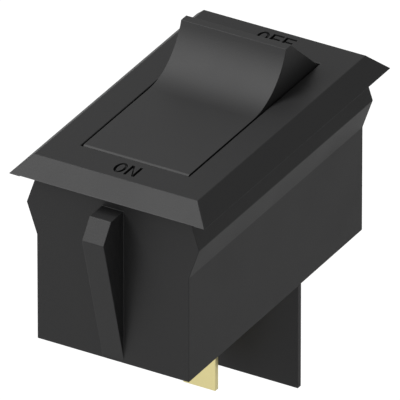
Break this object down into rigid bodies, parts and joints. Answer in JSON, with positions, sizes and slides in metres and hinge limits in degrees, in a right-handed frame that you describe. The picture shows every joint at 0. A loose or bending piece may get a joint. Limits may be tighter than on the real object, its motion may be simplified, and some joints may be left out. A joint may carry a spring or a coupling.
{
  "type": "snap-in rocker switch",
  "caption": "Black snap-in rocker light switch for a panel, with a scooped paddle, ON and OFF positions, end latches and blade terminals.",
  "frame": {"origin": "centre of the bezel's underside, on the panel's front face, in the middle of the panel cut-out", "axes": "+Z out of the panel towards the user, +Y along the switch towards its OFF end, +X across it"},
  "size_m": [0.018, 0.0342, 0.0301],
  "materials": {
    "black_nylon": "satin moulded nylon",
    "rocker_black": "satin moulded nylon",
    "base_black": "matt thermoset moulding",
    "barrier_black": "matt insulating sheet",
    "terminal_brass": "blanked brass strip",
    "lever_copper": "stamped copper strip",
    "contact_silver": "burnished silver alloy",
    "plunger_acetal": "smooth acetal",
    "spring_steel": "drawn spring wire"
  },
  "bodies": {
    "body": {"housing": "black_nylon", "base": "base_black", "terminal_barrier": "barrier_black", "common_terminal": "terminal_brass", "load_terminal": "terminal_brass", "fixed_contact": "contact_silver"},
    "rocker": {"rocker": "rocker_black", "plunger_spring": "spring_steel"},
    "plunger": {"plunger": "plunger_acetal"},
    "lever": {"contact_lever": "lever_copper", "moving_contact": "contact_silver"}
  },
  "joints": [
    {"name": "rocker_tilt", "type": "hinge", "parent": "body", "child": "rocker", "pos_m": [0, 0, -0.002], "axis": [-1, 0, 0], "range_deg": [0, 22]},
    {"name": "plunger_slide", "type": "slide", "parent": "rocker", "child": "plunger", "axis": [0, -0.1908, 0.9816], "range_m": [0, 0.0006], "stiffness_N_per_m": 400, "deforming": ["plunger_spring"]},
    {"name": "lever_tilt", "type": "hinge", "parent": "body", "child": "lever", "pos_m": [0, 0, -0.0098], "axis": [1, 0, 0], "range_deg": [0, 12]}
  ],
  "couplings": [
    {"joint": "lever_tilt", "follows": "rocker_tilt", "ratio": 0.5454}
  ]
}
